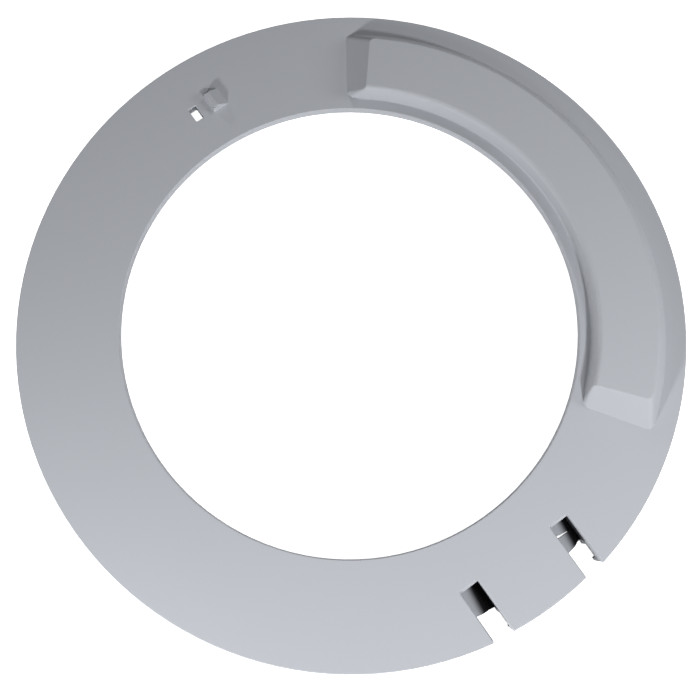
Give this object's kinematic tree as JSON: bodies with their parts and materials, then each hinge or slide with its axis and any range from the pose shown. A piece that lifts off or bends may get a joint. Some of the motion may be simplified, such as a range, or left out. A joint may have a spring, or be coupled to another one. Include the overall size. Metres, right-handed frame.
{
  "type": "washing machine door frame",
  "caption": "Flat grey plastic inner frame of a front loading washing machine door, a wide ring with a raised block and hinge notches.",
  "frame": {"origin": "centre of the glass opening, at the level of the flat visible face", "axes": "+Z out of the visible face, +X through the middle of the two hinge notches, +Y through the middle of the raised block, and the latch hole lies on -X"},
  "size_m": [0.3892, 0.39, 0.029],
  "materials": {
    "moulded_plastic": "fine matte texture"
  },
  "bodies": {
    "root": {"door_frame": "moulded_plastic"}
  },
  "joints": []
}
